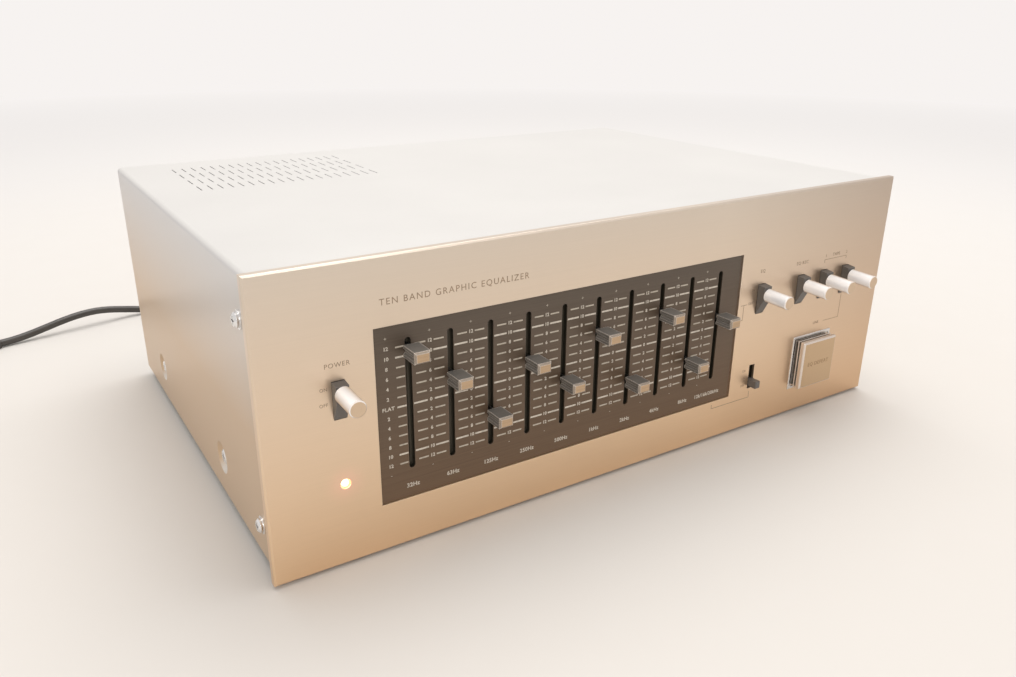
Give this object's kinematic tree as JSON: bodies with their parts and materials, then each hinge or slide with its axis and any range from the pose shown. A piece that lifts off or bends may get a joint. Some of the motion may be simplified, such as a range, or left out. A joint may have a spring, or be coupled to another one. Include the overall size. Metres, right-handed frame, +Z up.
{
  "type": "graphic equalizer",
  "caption": "Free-standing hi-fi graphic equalizer: wide brushed aluminium front with vertical slide controls on a black scale plate, lever switches, a square push-button and a metal cover.",
  "frame": {"origin": "at table level, at the centre of the rectangle of the four feet, which is also the middle of the case seen from above", "axes": "+Z up; +X to the right seen from the front, along the width; the front panel faces -Y"},
  "size_m": [0.5577, 0.4537, 0.15],
  "materials": {
    "panel_aluminium": "satin, brushed lengthways",
    "scale_black": "matt black, printed",
    "zinc_steel": "zinc plated",
    "black_steel": "matt black",
    "cover_paint": "satin paint",
    "cap_silver": "satin",
    "arm_steel": "plated",
    "control_steel": "plated",
    "board_green": "circuit board",
    "knob_silver": "polished",
    "black_plastic": "black",
    "lamp_orange": "clear orange",
    "button_champagne": "satin",
    "collar_nickel": "bright",
    "board_brown": "circuit board",
    "transformer_steel": "varnished",
    "capacitor_blue": "sleeved",
    "jack_nickel": "nickel",
    "cord_black": "smooth",
    "foot_rubber": "matt",
    "screw_zinc": "bright",
    "wire_red": "insulated"
  },
  "bodies": {
    "case": {"front_panel": "panel_aluminium", "slider_plate": "scale_black", "sub_panel": "black_steel", "top_cover": "cover_paint", "chassis_base": "zinc_steel", "rear_panel": "zinc_steel", "slide_pots": "black_steel", "slider_board": "board_green", "lever_switches": "control_steel", "band_switch": "control_steel", "pilot_lamp": "lamp_orange", "button_collar": "collar_nickel", "button_switch": "control_steel", "button_spring": "arm_steel", "main_board": "board_brown", "power_board": "board_brown", "transformer": "transformer_steel", "capacitors": "capacitor_blue", "jack_plate": "black_plastic", "phono_jacks": "jack_nickel", "ground_terminal": "jack_nickel", "strain_relief": "black_plastic", "mains_cord": "cord_black", "feet": "foot_rubber", "m3_screws": "screw_zinc", "m4_screws": "screw_zinc", "side_washers": "screw_zinc", "wiring": "wire_red"},
    "slider_1": {"slider_cap_1": "cap_silver", "slider_arm_1": "arm_steel"},
    "slider_2": {"slider_cap_2": "cap_silver", "slider_arm_2": "arm_steel"},
    "slider_3": {"slider_cap_3": "cap_silver", "slider_arm_3": "arm_steel"},
    "slider_4": {"slider_cap_4": "cap_silver", "slider_arm_4": "arm_steel"},
    "slider_5": {"slider_cap_5": "cap_silver", "slider_arm_5": "arm_steel"},
    "slider_6": {"slider_cap_6": "cap_silver", "slider_arm_6": "arm_steel"},
    "slider_7": {"slider_cap_7": "cap_silver", "slider_arm_7": "arm_steel"},
    "slider_8": {"slider_cap_8": "cap_silver", "slider_arm_8": "arm_steel"},
    "slider_9": {"slider_cap_9": "cap_silver", "slider_arm_9": "arm_steel"},
    "slider_10": {"slider_cap_10": "cap_silver", "slider_arm_10": "arm_steel"},
    "power_lever": {"power_knob": "knob_silver", "power_shank": "black_plastic"},
    "lever_1": {"lever_knob_1": "knob_silver", "lever_shank_1": "black_plastic"},
    "lever_2": {"lever_knob_2": "knob_silver", "lever_shank_2": "black_plastic"},
    "lever_3": {"lever_knob_3": "knob_silver", "lever_shank_3": "black_plastic"},
    "lever_4": {"lever_knob_4": "knob_silver", "lever_shank_4": "black_plastic"},
    "band_lever": {"band_lever": "black_plastic"},
    "push_button": {"push_button": "button_champagne"}
  },
  "joints": [
    {"name": "slider_1_slide", "type": "slide", "parent": "case", "child": "slider_1", "axis": [0, 0, 1], "range_m": [-0.0588, 0.0012]},
    {"name": "slider_2_slide", "type": "slide", "parent": "case", "child": "slider_2", "axis": [0, 0, 1], "range_m": [-0.0406, 0.0194]},
    {"name": "slider_3_slide", "type": "slide", "parent": "case", "child": "slider_3", "axis": [0, 0, 1], "range_m": [-0.0151, 0.0449]},
    {"name": "slider_4_slide", "type": "slide", "parent": "case", "child": "slider_4", "axis": [0, 0, 1], "range_m": [-0.0386, 0.0214]},
    {"name": "slider_5_slide", "type": "slide", "parent": "case", "child": "slider_5", "axis": [0, 0, 1], "range_m": [-0.0225, 0.0375]},
    {"name": "slider_6_slide", "type": "slide", "parent": "case", "child": "slider_6", "axis": [0, 0, 1], "range_m": [-0.0446, 0.0154]},
    {"name": "slider_7_slide", "type": "slide", "parent": "case", "child": "slider_7", "axis": [0, 0, 1], "range_m": [-0.0121, 0.0479]},
    {"name": "slider_8_slide", "type": "slide", "parent": "case", "child": "slider_8", "axis": [0, 0, 1], "range_m": [-0.0471, 0.0129]},
    {"name": "slider_9_slide", "type": "slide", "parent": "case", "child": "slider_9", "axis": [0, 0, 1], "range_m": [-0.0136, 0.0464]},
    {"name": "slider_10_slide", "type": "slide", "parent": "case", "child": "slider_10", "axis": [0, 0, 1], "range_m": [-0.0361, 0.0239]},
    {"name": "power_lever_throw", "type": "slide", "parent": "case", "child": "power_lever", "axis": [0, 0, 1], "range_m": [-0.008, 0]},
    {"name": "lever_1_throw", "type": "slide", "parent": "case", "child": "lever_1", "axis": [0, 0, 1], "range_m": [-0.008, 0]},
    {"name": "lever_2_throw", "type": "slide", "parent": "case", "child": "lever_2", "axis": [0, 0, 1], "range_m": [-0.008, 0]},
    {"name": "lever_3_throw", "type": "slide", "parent": "case", "child": "lever_3", "axis": [0, 0, 1], "range_m": [-0.008, 0]},
    {"name": "lever_4_throw", "type": "slide", "parent": "case", "child": "lever_4", "axis": [0, 0, 1], "range_m": [-0.008, 0]},
    {"name": "band_lever_slide", "type": "slide", "parent": "case", "child": "band_lever", "axis": [0, 0, 1], "range_m": [0, 0.0076]},
    {"name": "push_button_press", "type": "slide", "parent": "case", "child": "push_button", "axis": [0, 1, 0], "range_m": [0, 0.004], "stiffness_N_per_m": 500, "springref_m": -0.002, "deforming": ["button_spring"]}
  ]
}
